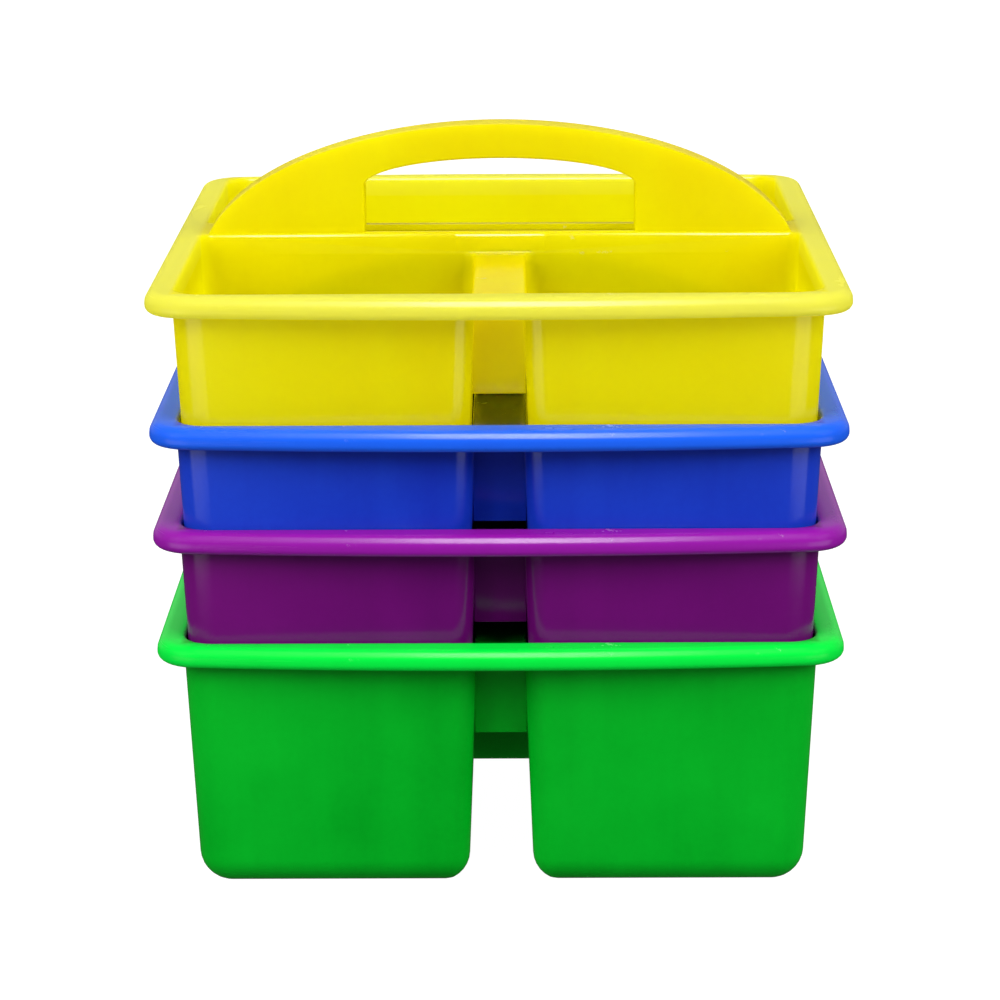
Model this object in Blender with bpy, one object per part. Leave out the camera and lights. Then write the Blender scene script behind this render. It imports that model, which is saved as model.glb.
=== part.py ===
"""Stack of four nested one-piece cleaning caddies, metres, +Z up, front towards -Y.

Each caddy is one injection moulding of constant wall: three drafted compartments
(one across the back, two at the front), a folded-down rim, a hollow ridge carrying a
hollow arched handle, and a hollow divider between the front compartments.  Every wall
leans by the same draft, so a caddy pushed into the one below keeps an even gap.
"""
import math

import bmesh
import bpy

MM = 0.001

# ---- overall size -------------------------------------------------------------
RIM_WIDTH = 235.4 * MM          # across X, over the rim
RIM_DEPTH = 235.4 * MM          # across Y, over the bowed rim edges
RIM_HEIGHT = 91.4 * MM          # base to rim top
HANDLE_RISE = 39.0 * MM         # rim top to handle top

# ---- stack --------------------------------------------------------------------
PITCH_PURPLE = 40.4 * MM        # green base to purple base
PITCH_BLUE = 36.2 * MM          # purple base to blue base
PITCH_YELLOW = 44.7 * MM        # blue base to yellow base
NEST_GAP = 0.3 * MM             # clearance between nested walls at the tightest pitch

# ---- moulding -----------------------------------------------------------------
DRAFT = math.tan(math.radians(2.2))     # every upright wall leans this much
TIGHTEST = min(PITCH_PURPLE, PITCH_BLUE, PITCH_YELLOW)
WALL = TIGHTEST * DRAFT - NEST_GAP      # horizontal wall, about 1.1 mm
FLOOR = 1.5 * MM
BOTTOM_ROUND = 10.8 * MM        # compartment floor to wall, outside
EDGE_ROUND = 1.4 * MM           # wall tops rolling over into the rim
CORNER_STEPS = 5
ROUND_STEPS = 3

# ---- rim ----------------------------------------------------------------------
RIM_BOW = 4.1 * MM              # front and rear edges bow out by this
RIM_CORNER = 15.0 * MM
RIM_SKIRT = 7.1 * MM            # height of the folded-down edge
RIM_TOP_ROUND = 4.0 * MM
RIM_CURL = 2.5 * MM             # the skirt's foot curls inwards on this radius
RIM_CURL_ANGLE = math.radians(60.0)
RIM_STEPS = 4
CURL_STEPS = 2
RIM_WALL = 1.5 * MM
RIM_INSET_SIDE = 9.85 * MM      # side rim edge to compartment inner wall, at rim level
RIM_INSET_END = 10.9 * MM       # the same from the bowed front and rear edges

# ---- ridge, divider -----------------------------------------------------------
RIDGE_FRONT = -7.0 * MM         # front compartments end here, at rim level
RIDGE_BACK = 14.8 * MM          # rear compartment starts here, at rim level
RIDGE_FOOT = 0.45               # share of the bottom round on that wall's foot
DIVIDER_HALF = 7.9 * MM         # slot half width under the divider, at rim level
DIVIDER_DROP = 7.1 * MM         # rim top down to divider top
DIVIDER_ROUND = 1.0 * MM        # divider top into the walls it meets
DIVIDER_EDGE = 1.3 * MM         # divider top over its own two edges
RELIEF_STEP = 0.06 * MM         # walls over the divider stand this far behind the rest
WEB_SETBACK = 13.0 * MM         # front inner wall back to the web
WEB_CLEAR = 5.7 * MM            # web's lower edge above the divider of the caddy below
CORNER_OUTER = 10.0 * MM        # compartment corners at the caddy's own corners
CORNER_SLOT = 6.5 * MM          # compartment corners beside the slot
CORNER_RIDGE = 4.5 * MM         # compartment corners against the ridge

# ---- handle -------------------------------------------------------------------
HANDLE_LAND_FRONT = 0.1 * MM    # rolled edge of the front compartments to front plate
HANDLE_LAND_BACK = 4.1 * MM     # rolled edge of the rear compartment to rear plate
ARCH_INSET = 9.3 * MM           # rim side edge in to the end of the arch's ellipse
ARCH_SUNK = 12.8 * MM           # ellipse centre below the rim top
HANDLE_ROUND = 3.0 * MM
GRIP_HALF = 48.7 * MM           # hand opening half width
GRIP_DEPTH = 12.2 * MM          # handle top down to the opening, in the middle
GRIP_DOME = 9.8 * MM            # the opening's elliptical top springs this far below it
GRIP_LIP = 0.4 * MM             # low lip left along the foot of the opening
ARCH_STEPS = 26
GRIP_STEPS = 14

INNER_HALF = RIM_WIDTH / 2 - RIM_INSET_SIDE
INNER_FRONT = -(RIM_DEPTH / 2 - RIM_INSET_END)
INNER_BACK = RIM_DEPTH / 2 - RIM_INSET_END
WEB_DROP = DIVIDER_DROP + TIGHTEST - WEB_CLEAR      # rim top to the web's lower edge
HANDLE_FRONT = RIDGE_FRONT + EDGE_ROUND + HANDLE_LAND_FRONT     # plates at rim level
HANDLE_BACK = RIDGE_BACK - EDGE_ROUND - HANDLE_LAND_BACK
ARCH_HALF = RIM_WIDTH / 2 - ARCH_INSET
GRIP_CROWN = HANDLE_RISE - GRIP_DEPTH
SKIRT_STRAIGHT = RIM_SKIRT - RIM_CURL * math.sin(RIM_CURL_ANGLE)    # above the curl
RIM_ROLL = min(RIM_TOP_ROUND, 0.9 * SKIRT_STRAIGHT)             # never past the skirt


def clear_scene():
    for obj in list(bpy.data.objects):
        bpy.data.objects.remove(obj, do_unlink=True)
    for group in list(bpy.data.collections):
        bpy.data.collections.remove(group)


clear_scene()
BODY = bpy.data.collections.new("nested_caddies")
CUTTERS = bpy.data.collections.new("cutters")
for group in (BODY, CUTTERS):
    bpy.context.scene.collection.children.link(group)
CUTTERS.hide_render = True


def add_object(name, mesh, group):
    obj = bpy.data.objects.new(name, mesh)
    group.objects.link(obj)
    if group is CUTTERS:
        obj.display_type = "WIRE"
        obj.hide_render = True
    return obj


def mesh_from(bm, name):
    bmesh.ops.recalc_face_normals(bm, faces=bm.faces)
    mesh = bpy.data.meshes.new(name)
    bm.to_mesh(mesh)
    bm.free()
    return mesh


def rounded_outline(x0, x1, y0, y1, radii, bow=0.0):
    """Anticlockwise outline; radii run front-left, front-right, back-right, back-left."""
    corners = ((x0, y0, 180.0), (x1, y0, 270.0), (x1, y1, 0.0), (x0, y1, 90.0))
    points = []
    for index, (cx, cy, start) in enumerate(corners):
        r = radii[index]
        mx = cx + r if cx == x0 else cx - r
        my = cy + r if cy == y0 else cy - r
        for step in range(CORNER_STEPS + 1):
            a = math.radians(start + 90.0 * step / CORNER_STEPS)
            points.append((mx + r * math.cos(a), my + r * math.sin(a)))
        if bow and index in (0, 2):
            side = -1.0 if index == 0 else 1.0
            span = (x1 - x0) / 2 - r
            for step in range(1, 8):
                t = -1.0 + 2.0 * step / 8
                points.append((-side * span * t, cy + side * bow * (1.0 - t * t)))
    return points


def loft(rings, name):
    """Closed solid through rings of equal length, lowest ring first."""
    bm = bmesh.new()
    rows = [[bm.verts.new((x, y, z)) for x, y in points] for z, points in rings]
    count = len(rows[0])
    for low, high in zip(rows, rows[1:]):
        for i in range(count):
            j = (i + 1) % count
            bm.faces.new((low[i], low[j], high[j], high[i]))
    bm.faces.new(list(reversed(rows[0])))
    bm.faces.new(rows[-1])
    return mesh_from(bm, name)


def compartment(name, x0, x1, y0, y1, radii, grow, floor_z, top_z, rolled,
                bottom_round=BOTTOM_ROUND - WALL, ridge_share=1.0, divider_side=0):
    """Drafted tub-shaped solid; sizes are the inner walls at rim level, grown by grow.

    The section changes all the way up: corner radii tighten into the bottom round,
    and a rolled top flares out to meet the rim.  ridge_share tightens the bottom
    round of the front wall.  divider_side is -1 or 1 where the low or high X wall
    stops at the divider's top, and rounds that wall's upper edge too.
    """
    rb = bottom_round + grow

    def ring(z, inset, flare=0.0):
        lean = (RIM_HEIGHT - z) * DRAFT + inset - grow
        trimmed = [max(r + grow - inset, 0.3 * r) for r in radii]
        left = x0 + lean - (flare if divider_side < 0 else 0.0)
        right = x1 - lean + (flare if divider_side > 0 else 0.0)
        front = y0 + lean - max(inset, 0.0) * (1.0 - ridge_share)
        return z, rounded_outline(left, right, front, y1 - lean, trimmed)

    rings = []
    for step in range(ROUND_STEPS + 1):
        a = math.radians(90.0 * step / ROUND_STEPS)
        inset = rb * (1.0 - math.sin(a))
        rings.append(ring(floor_z + rb * (1.0 - math.cos(a)), inset))
    if rolled:
        quarter = [math.radians(45.0 * step) for step in range(3)]
        if divider_side:
            for a in quarter:
                z = RIM_HEIGHT - DIVIDER_DROP - DIVIDER_EDGE * (1.0 - math.sin(a))
                rings.append(ring(z, 0.0, DIVIDER_EDGE * (1.0 - math.cos(a))))
        for a in quarter:
            z = RIM_HEIGHT - EDGE_ROUND * (1.0 - math.sin(a))
            rings.append(ring(z, -EDGE_ROUND * (1.0 - math.cos(a)), DIVIDER_EDGE))
        z, points = rings[-1]
        rings.append((top_z, points))
    else:
        rings.append(ring(top_z, 0.0))
    return loft(rings, name)


def box(name, x0, x1, y0, y1, z0, z1):
    bm = bmesh.new()
    bmesh.ops.create_cube(bm, size=1.0)
    for v in bm.verts:
        v.co.x = x0 if v.co.x < 0 else x1
        v.co.y = y0 if v.co.y < 0 else y1
        v.co.z = z0 if v.co.z < 0 else z1
    return mesh_from(bm, name)


def combine(target, mesh, operation):
    tool = add_object(mesh.name, mesh, CUTTERS)
    mod = target.modifiers.new(mesh.name, "BOOLEAN")
    mod.operation = operation
    mod.solver = "EXACT"
    mod.object = tool
    graph = bpy.context.evaluated_depsgraph_get()
    result = bpy.data.meshes.new_from_object(target.evaluated_get(graph))
    target.modifiers.clear()
    target.data = result


def rim_outline(inset):
    half = RIM_WIDTH / 2 - inset
    edge = RIM_DEPTH / 2 - RIM_BOW - inset
    return rounded_outline(-half, half, -edge, edge, [RIM_CORNER - inset] * 4, RIM_BOW)


def rim_rings(inset, bottom, top, rounding):
    """Rim section: foot curled inwards, upright skirt, rounded top edge."""
    curled = RIM_CURL * (1.0 - math.cos(RIM_CURL_ANGLE))
    rings = [(bottom, rim_outline(inset + curled))]
    for step in range(CURL_STEPS + 1):
        a = RIM_CURL_ANGLE * (1.0 - step / CURL_STEPS)
        z = RIM_HEIGHT - RIM_SKIRT + RIM_CURL * (math.sin(RIM_CURL_ANGLE) - math.sin(a))
        if z > bottom + 1e-6:
            rings.append((z, rim_outline(inset + RIM_CURL * (1.0 - math.cos(a)))))
    for step in range(RIM_STEPS + 1):
        a = math.radians(90.0 * step / RIM_STEPS)
        shift = rounding * (1.0 - math.cos(a))
        rings.append((top - rounding * (1.0 - math.sin(a)), rim_outline(inset + shift)))
    return rings


def arch_solid(name, shrink, bottom):
    """Half-ellipse slab standing across X, rounded along its upper edges and drafted."""
    a = ARCH_HALF - shrink
    b = ARCH_SUNK + HANDLE_RISE - shrink
    centre = RIM_HEIGHT - ARCH_SUNK
    start = math.asin((RIM_HEIGHT - centre) / b)
    outline = []
    for step in range(ARCH_STEPS + 1):
        t = start + (math.pi - 2 * start) * step / ARCH_STEPS
        outline.append((a * math.cos(t), centre + b * math.sin(t)))
    foot = outline[0][0]
    outline = [(foot, bottom)] + outline + [(-foot, bottom)]
    y0 = HANDLE_FRONT + shrink
    y1 = HANDLE_BACK - shrink
    middle = (y0 + y1) / 2
    bm = bmesh.new()
    face = bm.faces.new([bm.verts.new((x, y0, z)) for x, z in outline])
    grown = bmesh.ops.extrude_face_region(bm, geom=[face])
    for item in grown["geom"]:
        if isinstance(item, bmesh.types.BMVert):
            item.co.y = y1
    rim_edges = []
    for edge in bm.edges:
        low = min(v.co.z for v in edge.verts)
        along = abs(edge.verts[0].co.y - edge.verts[1].co.y) < 1e-6
        if along and low > RIM_HEIGHT - 1e-6:
            rim_edges.append(edge)
    bmesh.ops.bevel(bm, geom=rim_edges, offset=HANDLE_ROUND - shrink, segments=2,
                    profile=0.5, affect="EDGES", clamp_overlap=True)
    half = (y1 - y0) / 2
    for v in bm.verts:
        lean = (v.co.z - RIM_HEIGHT) * DRAFT / half
        v.co.y = middle + (v.co.y - middle) * (1.0 - lean)
    return mesh_from(bm, name)


def grip_cutter(name):
    """Hand opening: upright sides under a shallow half ellipse."""
    spring = RIM_HEIGHT + GRIP_CROWN - GRIP_DOME
    base = RIM_HEIGHT + GRIP_LIP
    points = [(GRIP_HALF, base)]
    for step in range(GRIP_STEPS + 1):
        a = math.pi * step / GRIP_STEPS
        points.append((GRIP_HALF * math.cos(a), spring + GRIP_DOME * math.sin(a)))
    points.append((-GRIP_HALF, base))
    bm = bmesh.new()
    face = bm.faces.new([bm.verts.new((x, HANDLE_FRONT - 0.02, z)) for x, z in points])
    grown = bmesh.ops.extrude_face_region(bm, geom=[face])
    for item in grown["geom"]:
        if isinstance(item, bmesh.types.BMVert):
            item.co.y = HANDLE_BACK + 0.02
    return mesh_from(bm, name)


def compartments():
    """Inner walls at rim level, corner radii, front foot share and divider side of each."""
    slot = DIVIDER_HALF + WALL
    return (
        ("rear", -INNER_HALF, INNER_HALF, RIDGE_BACK, INNER_BACK,
         (CORNER_RIDGE, CORNER_RIDGE, CORNER_OUTER, CORNER_OUTER), RIDGE_FOOT, 0),
        ("left", -INNER_HALF, -slot, INNER_FRONT, RIDGE_FRONT,
         (CORNER_OUTER, CORNER_SLOT, CORNER_RIDGE, CORNER_RIDGE), 1.0, 1),
        ("right", slot, INNER_HALF, INNER_FRONT, RIDGE_FRONT,
         (CORNER_SLOT, CORNER_OUTER, CORNER_RIDGE, CORNER_RIDGE), 1.0, -1),
    )


def build_caddy():
    skirt_foot = RIM_HEIGHT - RIM_SKIRT
    slab = loft(rim_rings(0.0, skirt_foot, RIM_HEIGHT, RIM_ROLL), "rim")
    caddy = add_object("caddy_form", slab, BODY)
    under = rim_rings(RIM_WALL, skirt_foot - 0.01, RIM_HEIGHT - RIM_WALL,
                      RIM_ROLL - RIM_WALL)
    combine(caddy, loft(under, "rim_underside"), "DIFFERENCE")

    for name, x0, x1, y0, y1, radii, foot, side in compartments():
        shell = compartment(name + "_shell", x0, x1, y0, y1, radii, WALL, 0.0,
                            RIM_HEIGHT - RIM_WALL / 2, False, ridge_share=foot)
        combine(caddy, shell, "UNION")

    reach = DIVIDER_HALF + WALL + CORNER_SLOT
    top = RIM_HEIGHT - DIVIDER_DROP
    head = box("divider_head", -reach, reach, INNER_FRONT - WALL, RIDGE_FRONT + WALL,
               top - WALL, RIM_HEIGHT - RIM_WALL / 2)
    combine(caddy, head, "UNION")
    web_y = INNER_FRONT + WEB_SETBACK
    web_half = DIVIDER_HALF + WALL
    web = box("web", -web_half, web_half, web_y, web_y + WALL,
              RIM_HEIGHT - WEB_DROP, top - WALL / 2)
    combine(caddy, web, "UNION")
    combine(caddy, arch_solid("handle", 0.0, RIM_HEIGHT - RIM_WALL / 2), "UNION")

    for name, x0, x1, y0, y1, radii, foot, side in compartments():
        pocket = compartment(name + "_pocket", x0, x1, y0, y1, radii, 0.0, FLOOR,
                             RIM_HEIGHT + 0.01, True, ridge_share=foot, divider_side=side)
        combine(caddy, pocket, "DIFFERENCE")
    over = compartment("divider_relief", -reach - MM, reach + MM,
                       INNER_FRONT - RELIEF_STEP, RIDGE_FRONT + RELIEF_STEP,
                       [0.5 * MM] * 4, 0.0, top, RIM_HEIGHT + 0.01, True,
                       bottom_round=DIVIDER_ROUND)
    combine(caddy, over, "DIFFERENCE")
    hollow = arch_solid("handle_hollow", WALL, RIM_HEIGHT - 3 * RIM_WALL)
    combine(caddy, hollow, "DIFFERENCE")
    combine(caddy, grip_cutter("hand_opening"), "DIFFERENCE")
    return caddy


def plastic(name, colour):
    material = bpy.data.materials.new(name)
    material.use_nodes = True
    shader = material.node_tree.nodes["Principled BSDF"]
    shader.inputs["Base Color"].default_value = (*colour, 1.0)
    shader.inputs["Roughness"].default_value = 0.28
    shader.inputs["Metallic"].default_value = 0.0
    return material


def shade_round(mesh):
    for polygon in mesh.polygons:
        polygon.use_smooth = True
    mesh.set_sharp_from_angle(angle=math.radians(35.0))


form = build_caddy()
tidy = bmesh.new()
tidy.from_mesh(form.data)
bmesh.ops.remove_doubles(tidy, verts=tidy.verts, dist=0.000002)
bmesh.ops.dissolve_degenerate(tidy, edges=tidy.edges, dist=0.000002)
tidy.to_mesh(form.data)
tidy.free()
shade_round(form.data)

LEVELS = (
    ("caddy_green", 0.0, (0.012, 0.45, 0.045)),
    ("caddy_purple", PITCH_PURPLE, (0.17, 0.012, 0.21)),
    ("caddy_blue", PITCH_PURPLE + PITCH_BLUE, (0.02, 0.055, 0.53)),
    ("caddy_yellow", PITCH_PURPLE + PITCH_BLUE + PITCH_YELLOW, (0.80, 0.74, 0.02)),
)
for name, level, colour in LEVELS:
    mesh = form.data.copy()
    mesh.name = name
    mesh.materials.clear()
    mesh.materials.append(plastic(name + "_plastic", colour))
    caddy = add_object(name, mesh, BODY)
    caddy.location.z = level
bpy.data.objects.remove(form, do_unlink=True)
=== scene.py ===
"""Finished looks for the stack of four nested one-piece cleaning caddies.

Each caddy is rebuilt from the same moulding plan as the CAD, with fine curves and
softened edges, and given a glossy moulded-plastic material of its own colour.
Metres, +Z up, front towards -Y.
"""
import math

import bmesh
import bpy
from mathutils import Matrix, Vector


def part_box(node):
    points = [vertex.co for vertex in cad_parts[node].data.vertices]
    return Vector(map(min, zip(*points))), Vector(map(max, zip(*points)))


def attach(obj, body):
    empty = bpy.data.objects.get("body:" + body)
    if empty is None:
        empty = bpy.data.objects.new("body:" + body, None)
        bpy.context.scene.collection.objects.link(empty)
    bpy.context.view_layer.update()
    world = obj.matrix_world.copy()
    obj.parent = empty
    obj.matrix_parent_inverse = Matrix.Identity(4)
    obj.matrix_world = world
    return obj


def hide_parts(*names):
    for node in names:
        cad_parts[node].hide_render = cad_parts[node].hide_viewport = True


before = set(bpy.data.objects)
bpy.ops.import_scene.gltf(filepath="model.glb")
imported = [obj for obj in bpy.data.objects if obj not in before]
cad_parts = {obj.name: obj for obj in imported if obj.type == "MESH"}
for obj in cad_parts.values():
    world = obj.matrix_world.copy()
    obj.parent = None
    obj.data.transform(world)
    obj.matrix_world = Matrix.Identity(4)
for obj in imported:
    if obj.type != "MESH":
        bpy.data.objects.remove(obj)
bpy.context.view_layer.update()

MM = 0.001

# ---- camera --------------------------------------------------------------------
CAMERA_PLACE = Vector((0.007085, -1.108807, 0.431584))
CAMERA_DOWN = 16.139            # degrees below the horizon
CAMERA_TURN = 0.394
CAMERA_ROLL = -0.329
CAMERA_LENS = 111.898           # mm
CAMERA_SENSOR = 36.0            # mm wide

# ---- sizes from the frame --------------------------------------------------------
GREEN_LOW, GREEN_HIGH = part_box("caddy_green")
LEVELS = {name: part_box("caddy_" + name)[0].z for name in ("green", "purple", "blue", "yellow")}
STEPS_UP = sorted(LEVELS.values())
RIM_WIDTH = GREEN_HIGH.x - GREEN_LOW.x
RIM_DEPTH = GREEN_HIGH.y - GREEN_LOW.y
HANDLE_RISE = 39.0 * MM         # rim top to handle top
RIM_HEIGHT = GREEN_HIGH.z - GREEN_LOW.z - HANDLE_RISE

# ---- moulding --------------------------------------------------------------------
NEST_GAP = 0.3 * MM
DRAFT = math.tan(math.radians(2.2))
TIGHTEST = min(high - low for low, high in zip(STEPS_UP, STEPS_UP[1:]))
WALL = TIGHTEST * DRAFT - NEST_GAP
FLOOR = 1.5 * MM
BOTTOM_ROUND = 10.8 * MM
EDGE_ROUND = 1.4 * MM
SOFT_EDGE = 0.5 * MM            # small rounding on edges the mould leaves crisp
CORNER_STEPS = 9
ROUND_STEPS = 8
ROLL_STEPS = 5
CURL_STEPS = 5
BOW_STEPS = 24
SOFT_STEPS = 3
LEAST_RADIUS = 0.3              # share of a corner's radius that is always left
OVERLAP = 1.0 * MM              # how far a cutter runs past what it cuts

# ---- rim -------------------------------------------------------------------------
RIM_BOW = 4.1 * MM
RIM_CORNER = 15.0 * MM
RIM_SKIRT = 7.1 * MM
RIM_TOP_ROUND = 4.0 * MM
RIM_CURL = 2.5 * MM
RIM_CURL_ANGLE = math.radians(60.0)
RIM_WALL = 1.5 * MM
RIM_INSET_SIDE = 9.85 * MM
RIM_INSET_END = 10.9 * MM

# ---- ridge, divider ---------------------------------------------------------------
RIDGE_FRONT = -7.0 * MM
RIDGE_BACK = 14.8 * MM
RIDGE_FOOT = 0.45
DIVIDER_HALF = 7.9 * MM
DIVIDER_DROP = 7.1 * MM
DIVIDER_ROUND = 1.0 * MM
DIVIDER_EDGE = 1.3 * MM
RELIEF_STEP = 0.06 * MM
WEB_SETBACK = 13.0 * MM
WEB_CLEAR = 5.7 * MM
CORNER_OUTER = 10.0 * MM
CORNER_SLOT = 6.5 * MM
CORNER_RIDGE = 4.5 * MM

# ---- handle ------------------------------------------------------------------------
HANDLE_LAND_FRONT = 0.1 * MM
HANDLE_LAND_BACK = 4.1 * MM
ARCH_INSET = 9.3 * MM
ARCH_SUNK = 12.8 * MM
HANDLE_ROUND = 3.0 * MM
GRIP_HALF = 48.7 * MM
GRIP_DEPTH = 12.2 * MM
GRIP_DOME = 9.8 * MM
GRIP_LIP = 0.4 * MM
GRIP_START = 0.3 * MM           # how far outside each face the opening's cutter starts
HANDLE_STEPS = 6
ARCH_STEPS = 72
GRIP_STEPS = 36
FLARE_STEPS = 3

# ---- fits taken from the sizes above ---------------------------------------------------
INNER_HALF = RIM_WIDTH / 2 - RIM_INSET_SIDE
INNER_FRONT = -(RIM_DEPTH / 2 - RIM_INSET_END)
INNER_BACK = RIM_DEPTH / 2 - RIM_INSET_END
WEB_DROP = DIVIDER_DROP + TIGHTEST - WEB_CLEAR
HANDLE_FRONT = RIDGE_FRONT + EDGE_ROUND + HANDLE_LAND_FRONT
HANDLE_BACK = RIDGE_BACK - EDGE_ROUND - HANDLE_LAND_BACK
ARCH_HALF = RIM_WIDTH / 2 - ARCH_INSET
GRIP_CROWN = HANDLE_RISE - GRIP_DEPTH
SKIRT_STRAIGHT = RIM_SKIRT - RIM_CURL * math.sin(RIM_CURL_ANGLE)
RIM_ROLL = min(RIM_TOP_ROUND, 0.9 * SKIRT_STRAIGHT)
RIM_MIDDLE = RIM_HEIGHT - RIM_WALL / 2  # inside the rim's slab, where the walls join it

# ---- mesh clean-up -----------------------------------------------------------------------
WELD = 0.002 * MM
TINY = 1e-6
SHARP_ANGLE = math.radians(32.0)

# ---- finish ------------------------------------------------------------------------------
PIGMENT_SCALE, PIGMENT_SHARE = 14.0, 0.62           # slow drift of the pigment
GRAIN_SCALE, GRAIN_SHARE = 420.0, 0.12
FLOW_STRETCH, FLOW_SHARE = (60.0, 60.0, 5.0), 0.26  # upright flow marks
NICK_SCALE, PATCH_SCALE = 170.0, 24.0               # edge nicks, and where they gather
NICK_TINT, NICK_ROUGH, NICK_DEPTH = 0.55, 0.3, 0.5
SCUFF_STRETCH, SCUFF_ROUGH = (30.0, 30.0, 900.0), 0.05
PEEL_SCALE, PEEL_DEPTH = 900.0, 0.06                # orange peel
WAVE_SCALE, WAVE_DEPTH = 36.0, 1.0                  # long ripples of the wall
ROUGH_LEAST, ROUGH_MOST, ROUGH_RIM = 0.15, 0.22, 0.05
RELIEF_STRENGTH, RELIEF_DEPTH = 0.5, 0.3 * MM
PLASTIC_IOR = 1.49

# ---- stage and light ---------------------------------------------------------------------
WHITE = (1.0, 1.0, 1.0, 1.0)
FLOOR_HALF = 6.0
FLOOR_DROP = 0.05 * MM
FLOOR_GREY = 0.15                       # what the object sees of the white floor
FLOOR_GLOW = 0.2
SKY_FRONT, SKY_BEHIND = 0.2, 0.75       # strength of the sky seen by the object
SKY_BELOW = 0.1                         # share of it left below the horizon
SKY_GLOSS = 0.6                         # share of it seen in reflections
SIDE_LIGHTS = ((-1.0, "left_sky", 2.85), (1.0, "right_sky", 2.8))
SIDE_ANGLE = math.radians(44.0)         # how broad each is
SIDE_AROUND = math.radians(55.0)        # from straight ahead
SIDE_UP = math.radians(36.0)            # above the horizon

# each caddy: deep and bright pigment, rim (painted light: lighter and paler than the walls,
# standing in for the light from above and its whitish reflection), scuffed edge, gloss, share of
# light let through
COLOURS = {
    "green": ((0.0, 0.30, 0.010), (0.001, 0.44, 0.018), (0.0, 0.72, 0.05),
              (0.5, 0.9, 0.6), 0.16, 0.0),
    "purple": ((0.10, 0.002, 0.11), (0.15, 0.003, 0.16), (0.26, 0.006, 0.32),
               (0.6, 0.4, 0.65), 0.3, 0.0),
    "blue": ((0.006, 0.022, 0.40), (0.010, 0.050, 0.55), (0.008, 0.11, 0.78),
             (0.45, 0.55, 0.95), 0.26, 0.0),
    "yellow": ((0.97, 0.89, 0.0), (1.0, 0.97, 0.0), (0.95, 0.94, 0.18),
               (0.98, 0.96, 0.7), 0.8, 0.66),
}


def make_camera():
    data = bpy.data.cameras.new("camera")
    data.lens = CAMERA_LENS
    data.sensor_width = CAMERA_SENSOR
    camera = bpy.data.objects.new("camera", data)
    bpy.context.scene.collection.objects.link(camera)
    turn = Matrix.Rotation(math.radians(CAMERA_TURN), 4, "Z")
    tilt = Matrix.Rotation(math.radians(90.0 - CAMERA_DOWN), 4, "X")
    roll = Matrix.Rotation(math.radians(CAMERA_ROLL), 4, "Z")
    camera.matrix_world = Matrix.Translation(CAMERA_PLACE) @ turn @ tilt @ roll
    bpy.context.scene.camera = camera


# ---- mesh helpers --------------------------------------------------------------------
def mesh_from(bm, name):
    bmesh.ops.recalc_face_normals(bm, faces=bm.faces)
    mesh = bpy.data.meshes.new(name)
    bm.to_mesh(mesh)
    bm.free()
    return mesh


def rounded_outline(x0, x1, y0, y1, radii, bow=0.0):
    """Anticlockwise outline; radii run front-left, front-right, back-right, back-left."""
    corners = ((x0, y0, 180.0), (x1, y0, 270.0), (x1, y1, 0.0), (x0, y1, 90.0))
    points = []
    for index, (cx, cy, start) in enumerate(corners):
        r = radii[index]
        mx = cx + r if cx == x0 else cx - r
        my = cy + r if cy == y0 else cy - r
        for step in range(CORNER_STEPS + 1):
            a = math.radians(start + 90.0 * step / CORNER_STEPS)
            points.append((mx + r * math.cos(a), my + r * math.sin(a)))
        if bow and index in (0, 2):
            side = -1.0 if index == 0 else 1.0
            span = (x1 - x0) / 2 - r
            for step in range(1, BOW_STEPS):
                t = -1.0 + 2.0 * step / BOW_STEPS
                points.append((-side * span * t, cy + side * bow * (1.0 - t * t)))
    return points


def loft(rows, name):
    """Closed solid through rows of points of equal length."""
    bm = bmesh.new()
    rings = [[bm.verts.new(point) for point in row] for row in rows]
    count = len(rings[0])
    for low, high in zip(rings, rings[1:]):
        for i in range(count):
            j = (i + 1) % count
            bm.faces.new((low[i], low[j], high[j], high[i]))
    bm.faces.new(list(reversed(rings[0])))
    bm.faces.new(rings[-1])
    return mesh_from(bm, name)


def level_row(z, outline):
    return [(x, y, z) for x, y in outline]


def box(name, x0, x1, y0, y1, z0, z1, edge=0.0):
    bm = bmesh.new()
    bmesh.ops.create_cube(bm, size=1.0)
    for v in bm.verts:
        v.co.x = x0 if v.co.x < 0 else x1
        v.co.y = y0 if v.co.y < 0 else y1
        v.co.z = z0 if v.co.z < 0 else z1
    if edge:
        bmesh.ops.bevel(bm, geom=list(bm.edges), offset=edge, segments=SOFT_STEPS,
                        profile=0.5, affect="EDGES", clamp_overlap=True)
    return mesh_from(bm, name)


def combine(target, mesh, operation):
    tool = bpy.data.objects.new(mesh.name, mesh)
    bpy.context.scene.collection.objects.link(tool)
    mod = target.modifiers.new(mesh.name, "BOOLEAN")
    mod.operation = operation
    mod.solver = "EXACT"
    mod.object = tool
    graph = bpy.context.evaluated_depsgraph_get()
    result = bpy.data.meshes.new_from_object(target.evaluated_get(graph))
    target.modifiers.clear()
    target.data = result
    bpy.data.objects.remove(tool, do_unlink=True)


# ---- one caddy -------------------------------------------------------------------------
def compartments():
    """Inner walls at rim level, corner radii, front foot share and divider side of each."""
    slot = DIVIDER_HALF + WALL
    return (
        ("rear", -INNER_HALF, INNER_HALF, RIDGE_BACK, INNER_BACK,
         (CORNER_RIDGE, CORNER_RIDGE, CORNER_OUTER, CORNER_OUTER), RIDGE_FOOT, 0),
        ("left", -INNER_HALF, -slot, INNER_FRONT, RIDGE_FRONT,
         (CORNER_OUTER, CORNER_SLOT, CORNER_RIDGE, CORNER_RIDGE), 1.0, 1),
        ("right", slot, INNER_HALF, INNER_FRONT, RIDGE_FRONT,
         (CORNER_SLOT, CORNER_OUTER, CORNER_RIDGE, CORNER_RIDGE), 1.0, -1),
    )


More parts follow.
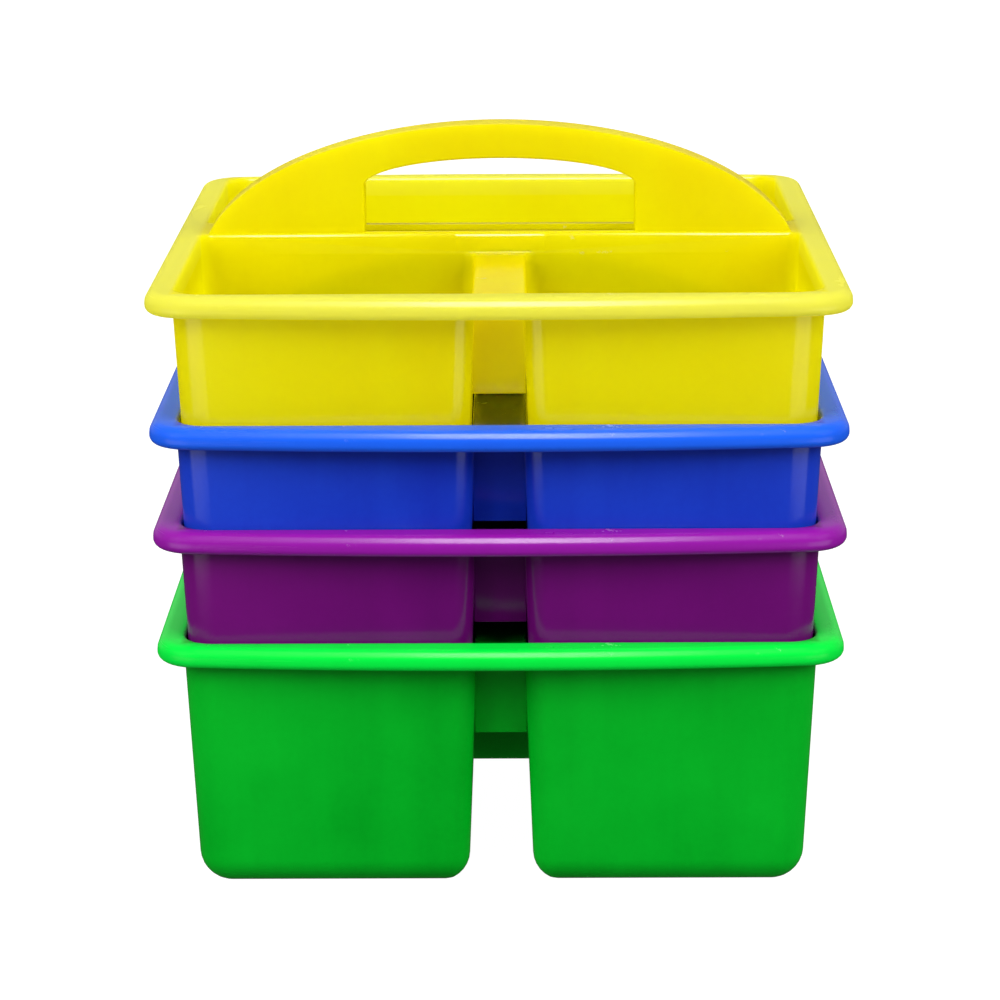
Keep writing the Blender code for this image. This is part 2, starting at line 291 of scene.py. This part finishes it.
def compartment(name, x0, x1, y0, y1, radii, grow, floor_z, top_z, rolled,
                bottom_round=BOTTOM_ROUND - WALL, ridge_share=1.0, divider_side=0):
    """Drafted tub-shaped solid; a rolled top flares out to meet the rim.

    divider_side is -1 or 1 where the low or high X wall stops at the divider's top,
    and rounds that wall's upper edge too.
    """
    rb = bottom_round + grow

    def row(z, inset, flare=0.0):
        lean = (RIM_HEIGHT - z) * DRAFT + inset - grow
        trimmed = [max(r + grow - inset, LEAST_RADIUS * r) for r in radii]
        left = x0 + lean - (flare if divider_side < 0 else 0.0)
        right = x1 - lean + (flare if divider_side > 0 else 0.0)
        front = y0 + lean - max(inset, 0.0) * (1.0 - ridge_share)
        return level_row(z, rounded_outline(left, right, front, y1 - lean, trimmed))

    rows = []
    for step in range(ROUND_STEPS + 1):
        a = math.radians(90.0 * step / ROUND_STEPS)
        rows.append(row(floor_z + rb * (1.0 - math.cos(a)), rb * (1.0 - math.sin(a))))
    if rolled:
        quarter = [math.radians(90.0 * step / ROLL_STEPS) for step in range(ROLL_STEPS + 1)]
        if divider_side:
            for a in quarter:
                z = RIM_HEIGHT - DIVIDER_DROP - DIVIDER_EDGE * (1.0 - math.sin(a))
                rows.append(row(z, 0.0, DIVIDER_EDGE * (1.0 - math.cos(a))))
        for a in quarter:
            z = RIM_HEIGHT - EDGE_ROUND * (1.0 - math.sin(a))
            rows.append(row(z, -EDGE_ROUND * (1.0 - math.cos(a)), DIVIDER_EDGE))
        rows.append([(x, y, top_z) for x, y, z in rows[-1]])
    else:
        rows.append(row(top_z, 0.0))
    return loft(rows, name)


def rim_outline(inset):
    half = RIM_WIDTH / 2 - inset
    edge = RIM_DEPTH / 2 - RIM_BOW - inset
    return rounded_outline(-half, half, -edge, edge, [RIM_CORNER - inset] * 4, RIM_BOW)


def rim_solid(name, inset, bottom, top, rounding):
    """Rim slab: foot curled inwards, upright skirt, rounded top edge."""
    curled = RIM_CURL * (1.0 - math.cos(RIM_CURL_ANGLE))
    rows = [level_row(bottom, rim_outline(inset + curled))]
    for step in range(CURL_STEPS + 1):
        a = RIM_CURL_ANGLE * (1.0 - step / CURL_STEPS)
        z = RIM_HEIGHT - RIM_SKIRT + RIM_CURL * (math.sin(RIM_CURL_ANGLE) - math.sin(a))
        if z > bottom + TINY:
            rows.append(level_row(z, rim_outline(inset + RIM_CURL * (1.0 - math.cos(a)))))
    for step in range(ROUND_STEPS + 1):
        a = math.radians(90.0 * step / ROUND_STEPS)
        shift = rounding * (1.0 - math.cos(a))
        rows.append(level_row(top - rounding * (1.0 - math.sin(a)), rim_outline(inset + shift)))
    return loft(rows, name)


def arch_solid(name, shrink, bottom):
    """Half-ellipse slab standing across X, rounded along its upper edges and drafted."""
    a = ARCH_HALF - shrink
    b = ARCH_SUNK + HANDLE_RISE - shrink
    centre = RIM_HEIGHT - ARCH_SUNK
    start = math.asin((RIM_HEIGHT - centre) / b)
    outline = []
    for step in range(ARCH_STEPS + 1):
        t = start + (math.pi - 2 * start) * step / ARCH_STEPS
        outline.append((a * math.cos(t), centre + b * math.sin(t)))
    foot = outline[0][0]
    outline = [(foot, bottom)] + outline + [(-foot, bottom)]
    y0 = HANDLE_FRONT + shrink
    y1 = HANDLE_BACK - shrink
    middle = (y0 + y1) / 2
    bm = bmesh.new()
    face = bm.faces.new([bm.verts.new((x, y0, z)) for x, z in outline])
    grown = bmesh.ops.extrude_face_region(bm, geom=[face])
    for item in grown["geom"]:
        if isinstance(item, bmesh.types.BMVert):
            item.co.y = y1
    upper = []
    for edge in bm.edges:
        low = min(v.co.z for v in edge.verts)
        along = abs(edge.verts[0].co.y - edge.verts[1].co.y) < TINY
        if along and low > RIM_HEIGHT - TINY:
            upper.append(edge)
    bmesh.ops.bevel(bm, geom=upper, offset=HANDLE_ROUND - shrink, segments=HANDLE_STEPS,
                    profile=0.5, affect="EDGES", clamp_overlap=True)
    half = (y1 - y0) / 2
    for v in bm.verts:
        lean = (v.co.z - RIM_HEIGHT) * DRAFT / half
        v.co.y = middle + (v.co.y - middle) * (1.0 - lean)
    return mesh_from(bm, name)


def grip_outline(grow):
    """Hand opening: upright sides under a shallow half ellipse."""
    spring = RIM_HEIGHT + GRIP_CROWN - GRIP_DOME
    base = RIM_HEIGHT + GRIP_LIP
    half = GRIP_HALF + grow
    points = [(half, base)]
    for step in range(GRIP_STEPS + 1):
        a = math.pi * step / GRIP_STEPS
        points.append((half * math.cos(a), spring + (GRIP_DOME + grow) * math.sin(a)))
    points.append((-half, base))
    return points


def grip_cutter(name):
    """The hand opening, flared where it meets the two leaning faces of the handle."""
    flare = [(-GRIP_START, SOFT_EDGE)]
    for step in range(FLARE_STEPS + 1):
        a = math.radians(90.0 * step / FLARE_STEPS)
        flare.append((SOFT_EDGE * math.sin(a), SOFT_EDGE * (1.0 - math.sin(a))))
    rows = []
    for depth, grow in flare:
        rows.append([(x, HANDLE_FRONT + (z - RIM_HEIGHT) * DRAFT + depth, z)
                     for x, z in grip_outline(grow)])
    for depth, grow in reversed(flare):
        rows.append([(x, HANDLE_BACK - (z - RIM_HEIGHT) * DRAFT - depth, z)
                     for x, z in grip_outline(grow)])
    return loft(rows, name)


def build_caddy():
    """One caddy: rim, compartments, divider, web and handle joined, then hollowed."""
    skirt_foot = RIM_HEIGHT - RIM_SKIRT
    slab = rim_solid("rim", 0.0, skirt_foot, RIM_HEIGHT, RIM_ROLL)
    caddy = bpy.data.objects.new("caddy_form", slab)
    bpy.context.scene.collection.objects.link(caddy)
    under = rim_solid("rim_underside", RIM_WALL, skirt_foot - OVERLAP, RIM_HEIGHT - RIM_WALL,
                      RIM_ROLL - RIM_WALL)
    combine(caddy, under, "DIFFERENCE")

    for name, *plan, foot, _ in compartments():
        shell = compartment(name + "_shell", *plan, WALL, 0.0, RIM_MIDDLE, False,
                            ridge_share=foot)
        combine(caddy, shell, "UNION")

    reach = DIVIDER_HALF + WALL + CORNER_SLOT
    top = RIM_HEIGHT - DIVIDER_DROP
    head = box("divider_head", -reach, reach, INNER_FRONT - WALL, RIDGE_FRONT + WALL,
               top - WALL, RIM_MIDDLE)
    combine(caddy, head, "UNION")
    web_y = INNER_FRONT + WEB_SETBACK
    web_half = DIVIDER_HALF + WALL
    web = box("web", -web_half, web_half, web_y, web_y + WALL,
              RIM_HEIGHT - WEB_DROP, top - WALL / 2, SOFT_EDGE / 2)
    combine(caddy, web, "UNION")
    combine(caddy, arch_solid("handle", 0.0, RIM_MIDDLE), "UNION")

    for name, *plan, foot, side in compartments():
        pocket = compartment(name + "_pocket", *plan, 0.0, FLOOR, RIM_HEIGHT + OVERLAP,
                             True, ridge_share=foot, divider_side=side)
        combine(caddy, pocket, "DIFFERENCE")
    over = compartment("divider_relief", -reach - OVERLAP, reach + OVERLAP,
                       INNER_FRONT - RELIEF_STEP, RIDGE_FRONT + RELIEF_STEP,
                       [SOFT_EDGE] * 4, 0.0, top, RIM_HEIGHT + OVERLAP, True,
                       bottom_round=DIVIDER_ROUND)
    combine(caddy, over, "DIFFERENCE")
    hollow = arch_solid("handle_hollow", WALL, RIM_HEIGHT - 3 * RIM_WALL)
    combine(caddy, hollow, "DIFFERENCE")
    combine(caddy, grip_cutter("hand_opening"), "DIFFERENCE")
    return caddy


def clean(mesh):
    bm = bmesh.new()
    bm.from_mesh(mesh)
    bmesh.ops.remove_doubles(bm, verts=bm.verts, dist=WELD)
    bmesh.ops.dissolve_degenerate(bm, edges=bm.edges, dist=WELD)
    bm.to_mesh(mesh)
    bm.free()
    for polygon in mesh.polygons:
        polygon.use_smooth = True
    mesh.set_sharp_from_angle(angle=SHARP_ANGLE)


# ---- materials ------------------------------------------------------------------------
class Nodes:
    """Small helper for wiring a node tree."""

    def __init__(self, tree):
        self.tree = tree

    def add(self, kind, **settings):
        node = self.tree.nodes.new(kind)
        for key, value in settings.items():
            setattr(node, key, value)
        return node

    def link(self, source, target):
        self.tree.links.new(source, target)

    def noise(self, vector, scale, detail=2.0, roughness=0.5):
        node = self.add("ShaderNodeTexNoise")
        node.inputs["Scale"].default_value = scale
        node.inputs["Detail"].default_value = detail
        node.inputs["Roughness"].default_value = roughness
        self.link(vector, node.inputs["Vector"])
        return node.outputs["Fac"]

    def stretch(self, vector, x, y, z):
        node = self.add("ShaderNodeMapping")
        node.inputs["Scale"].default_value = (x, y, z)
        self.link(vector, node.inputs["Vector"])
        return node.outputs["Vector"]

    def spread(self, value, low, high, to_low, to_high):
        node = self.add("ShaderNodeMapRange")
        node.inputs["From Min"].default_value = low
        node.inputs["From Max"].default_value = high
        node.inputs["To Min"].default_value = to_low
        node.inputs["To Max"].default_value = to_high
        self.link(value, node.inputs["Value"])
        return node.outputs["Result"]

    def maths(self, operation, first, second):
        node = self.add("ShaderNodeMath", operation=operation)
        for index, item in enumerate((first, second)):
            if isinstance(item, (int, float)):
                node.inputs[index].default_value = item
            else:
                self.link(item, node.inputs[index])
        return node.outputs["Value"]

    def mix(self, share, first, second):
        node = self.add("ShaderNodeMix", data_type="RGBA")
        self.link(share, node.inputs[0])
        for index, item in ((6, first), (7, second)):
            if isinstance(item, tuple):
                node.inputs[index].default_value = (*item, 1.0)
            else:
                self.link(item, node.inputs[index])
        return node.outputs[2]

    def blend(self, share, first, second):
        """A shader between two others; share is a number or a socket."""
        node = self.add("ShaderNodeMixShader")
        if isinstance(share, float):
            node.inputs["Fac"].default_value = share
        else:
            self.link(share, node.inputs["Fac"])
        self.link(first, node.inputs[1])
        self.link(second, node.inputs[2])
        return node.outputs["Shader"]

    def band(self, height, centre, half):
        """1 at a height, falling to 0 half away from it."""
        away = self.maths("ABSOLUTE", self.maths("SUBTRACT", height, centre), 0.0)
        return self.spread(away, 0.0, half, 1.0, 0.0)


def plastic(name, deep, bright, rim_painted_light, worn, gloss, glow):
    """Glossy moulded polypropylene: pigment drift, flow marks, orange peel, scuffed edges, and
    painted light on the rim.
    """
    material = bpy.data.materials.new(name)
    material.use_nodes = True
    n = Nodes(material.node_tree)
    shader = n.tree.nodes["Principled BSDF"]
    place = n.add("ShaderNodeTexCoord").outputs["Object"]
    axes = n.add("ShaderNodeSeparateXYZ")
    n.link(place, axes.inputs["Vector"])
    height = axes.outputs["Z"]

    drift = n.spread(n.noise(place, PIGMENT_SCALE, 3.0, 0.55), 0.32, 0.68, 0.0, 1.0)
    grain = n.spread(n.noise(place, GRAIN_SCALE, 2.0, 0.6), 0.3, 0.7, 0.0, 1.0)
    flow = n.noise(n.stretch(place, *FLOW_STRETCH), 1.0, 3.0, 0.6)
    flow = n.spread(flow, 0.35, 0.7, 0.0, 1.0)
    shade = n.maths("ADD", n.maths("MULTIPLY", drift, PIGMENT_SHARE),
                    n.maths("MULTIPLY", grain, GRAIN_SHARE))
    shade = n.maths("ADD", shade, n.maths("MULTIPLY", flow, FLOW_SHARE))
    colour = n.mix(shade, deep, bright)

    across = n.maths("SUBTRACT", n.maths("ABSOLUTE", axes.outputs["X"], 0.0), INNER_HALF)
    along = n.maths("SUBTRACT", n.maths("ABSOLUTE", axes.outputs["Y"], 0.0), INNER_BACK)
    outside = n.spread(n.maths("MAXIMUM", across, along), -0.6 * MM, 1.2 * MM, 0.0, 1.0)
    skirt = RIM_HEIGHT - RIM_SKIRT
    upper = n.spread(height, skirt - 0.4 * MM, skirt + 0.4 * MM, 0.0, 1.0)
    # Painted light: the rim outside the inner walls and above the skirt's foot gets a lighter,
    # paler colour, standing in for the light from above and its whitish reflection. The same
    # area is also made rougher further down.
    rim_painted_light_colour = n.mix(n.maths("MULTIPLY", shade, 0.25), rim_painted_light, bright)
    rim_painted_light_area = n.maths("MULTIPLY", outside, upper)
    colour = n.mix(rim_painted_light_area, colour, rim_painted_light_colour)

    rim_edge = n.band(height, RIM_HEIGHT - RIM_TOP_ROUND * 0.35, 2.2 * MM)
    foot_edge = n.band(height, RIM_HEIGHT - RIM_SKIRT, 1.0 * MM)
    base_edge = n.band(height, 0.0, 3.0 * MM)
    edges = n.maths("MAXIMUM", n.maths("MAXIMUM", rim_edge, foot_edge), base_edge)
    nicks = n.spread(n.noise(place, NICK_SCALE, 5.0, 0.7), 0.63, 0.69, 0.0, 1.0)
    patches = n.spread(n.noise(place, PATCH_SCALE, 2.0, 0.5), 0.5, 0.6, 0.0, 1.0)
    wear = n.maths("MULTIPLY", n.maths("MULTIPLY", nicks, patches), edges)
    colour = n.mix(n.maths("MULTIPLY", wear, NICK_TINT), colour, worn)
    n.link(colour, shader.inputs["Base Color"])

    scuff = n.noise(n.stretch(place, *SCUFF_STRETCH), 1.0, 4.0, 0.65)
    scuff = n.spread(scuff, 0.58, 0.75, 0.0, 1.0)
    rough = n.spread(drift, 0.0, 1.0, ROUGH_LEAST, ROUGH_MOST)
    rough = n.maths("ADD", rough, n.maths("MULTIPLY", scuff, SCUFF_ROUGH))
    rough = n.maths("ADD", rough, n.maths("MULTIPLY", wear, NICK_ROUGH))
    rough = n.maths("ADD", rough, n.maths("MULTIPLY", rim_painted_light_area, ROUGH_RIM))
    n.link(rough, shader.inputs["Roughness"])

    peel = n.noise(place, PEEL_SCALE, 2.0, 0.5)
    wave = n.noise(place, WAVE_SCALE, 2.0, 0.4)
    relief = n.maths("ADD", n.maths("MULTIPLY", peel, PEEL_DEPTH),
                     n.maths("MULTIPLY", wave, WAVE_DEPTH))
    relief = n.maths("SUBTRACT", relief, n.maths("MULTIPLY", wear, NICK_DEPTH))
    bump = n.add("ShaderNodeBump")
    bump.inputs["Strength"].default_value = RELIEF_STRENGTH
    bump.inputs["Distance"].default_value = RELIEF_DEPTH
    n.link(relief, bump.inputs["Height"])
    n.link(bump.outputs["Normal"], shader.inputs["Normal"])

    if glow:
        through = n.add("ShaderNodeBsdfTranslucent")
        n.link(colour, through.inputs["Color"])
        blended = n.blend(glow, shader.outputs["BSDF"], through.outputs["BSDF"])
        n.link(blended, n.tree.nodes["Material Output"].inputs["Surface"])
    shader.inputs["Metallic"].default_value = 0.0
    shader.inputs["IOR"].default_value = PLASTIC_IOR
    shader.inputs["Specular IOR Level"].default_value = gloss
    return material


# ---- stage and light ------------------------------------------------------------------
def make_floor():
    """White table top, clear from below so that the underside can be looked at."""
    bm = bmesh.new()
    bmesh.ops.create_grid(bm, x_segments=1, y_segments=1, size=FLOOR_HALF)
    floor = bpy.data.objects.new("floor", mesh_from(bm, "floor"))
    bpy.context.scene.collection.objects.link(floor)
    floor.location.z = GREEN_LOW.z - FLOOR_DROP
    material = bpy.data.materials.new("pale_floor")
    material.use_nodes = True
    n = Nodes(material.node_tree)
    shader = n.tree.nodes["Principled BSDF"]
    shader.inputs["Base Color"].default_value = (FLOOR_GREY, FLOOR_GREY, FLOOR_GREY, 1.0)
    shader.inputs["Roughness"].default_value = 0.9
    shader.inputs["Specular IOR Level"].default_value = 0.0
    shader.inputs["Emission Color"].default_value = WHITE
    seen = n.add("ShaderNodeLightPath").outputs["Is Camera Ray"]
    n.link(n.spread(seen, 0.0, 1.0, FLOOR_GLOW, 1.0), shader.inputs["Emission Strength"])
    below = n.add("ShaderNodeNewGeometry").outputs["Backfacing"]
    clear = n.add("ShaderNodeBsdfTransparent").outputs["BSDF"]
    n.link(n.blend(below, shader.outputs["BSDF"], clear),
           n.tree.nodes["Material Output"].inputs["Surface"])
    material.cycles.emission_sampling = "NONE"
    floor.data.materials.append(material)
    floor.visible_glossy = False


def reflected_light(name, place, aim, size_x, size_y, watts):
    """A softbox that shows only as a highlight on the gloss."""
    data = bpy.data.lights.new(name, "AREA")
    data.shape = "RECTANGLE"
    data.size = size_x
    data.size_y = size_y
    data.energy = watts
    light = bpy.data.objects.new(name, data)
    bpy.context.scene.collection.objects.link(light)
    light.location = place
    light.rotation_euler = (Vector(aim) - Vector(place)).to_track_quat("-Z", "Y").to_euler()
    light.visible_camera = False
    light.visible_diffuse = False
    light.visible_transmission = False


def make_world():
    """White to the eye; to the object, bright behind and above, dimmer in its gloss."""
    world = bpy.data.worlds.new("studio")
    bpy.context.scene.world = world
    world.use_nodes = True
    n = Nodes(world.node_tree)
    n.tree.nodes.clear()
    out = n.add("ShaderNodeOutputWorld")
    seen = n.add("ShaderNodeBackground")
    lit = n.add("ShaderNodeBackground")
    for sky in (seen, lit):
        sky.inputs["Color"].default_value = WHITE
    seen.inputs["Strength"].default_value = 1.0
    axes = n.add("ShaderNodeSeparateXYZ")
    n.link(n.add("ShaderNodeTexCoord").outputs["Generated"], axes.inputs["Vector"])
    path = n.add("ShaderNodeLightPath")
    behind = n.spread(axes.outputs["Y"], -0.3, 0.7, SKY_FRONT, SKY_BEHIND)
    above = n.spread(axes.outputs["Z"], -0.15, 0.05, SKY_BELOW, 1.0)
    sheen = n.spread(path.outputs["Is Glossy Ray"], 0.0, 1.0, 1.0, SKY_GLOSS)
    strength = n.maths("MULTIPLY", n.maths("MULTIPLY", behind, above), sheen)
    n.link(strength, lit.inputs["Strength"])
    n.link(n.blend(path.outputs["Is Camera Ray"], lit.outputs["Background"],
                   seen.outputs["Background"]), out.inputs["Surface"])


def make_lights():
    """Two broad lights from either side of the front, and softboxes seen only in the gloss."""
    for side, name, energy in SIDE_LIGHTS:
        data = bpy.data.lights.new(name, "SUN")
        data.energy = energy
        data.angle = SIDE_ANGLE
        place = Vector((side * math.sin(SIDE_AROUND) * math.cos(SIDE_UP),
                        -math.cos(SIDE_AROUND) * math.cos(SIDE_UP), math.sin(SIDE_UP)))
        sun = bpy.data.objects.new(name, data)
        bpy.context.scene.collection.objects.link(sun)
        sun.rotation_euler = (-place).to_track_quat("-Z", "Y").to_euler()
        sun.visible_glossy = False
        reflected_light("table_glint_" + name, place=(side * 0.42, -0.46, 0.03),
                        aim=(0.0, -0.1, 0.16), size_x=0.5, size_y=0.2, watts=0.75)
    reflected_light("softbox", place=(0.02, -0.70, 1.20), aim=(0.0, -0.1, 0.15),
                    size_x=0.2, size_y=1.1, watts=19.0)


make_camera()
make_world()
make_lights()
make_floor()
bpy.context.scene.view_settings.view_transform = "Standard"

form = build_caddy()
clean(form.data)
for colour, shades in COLOURS.items():
    mesh = form.data.copy()
    mesh.name = colour + "_moulding"
    mesh.materials.clear()
    mesh.materials.append(plastic(colour + "_plastic", *shades))
    piece = bpy.data.objects.new(colour + "_moulding", mesh)
    bpy.context.scene.collection.objects.link(piece)
    piece.location.z = LEVELS[colour]
    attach(piece, colour + "_caddy")
    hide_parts("caddy_" + colour)
bpy.data.objects.remove(form, do_unlink=True)
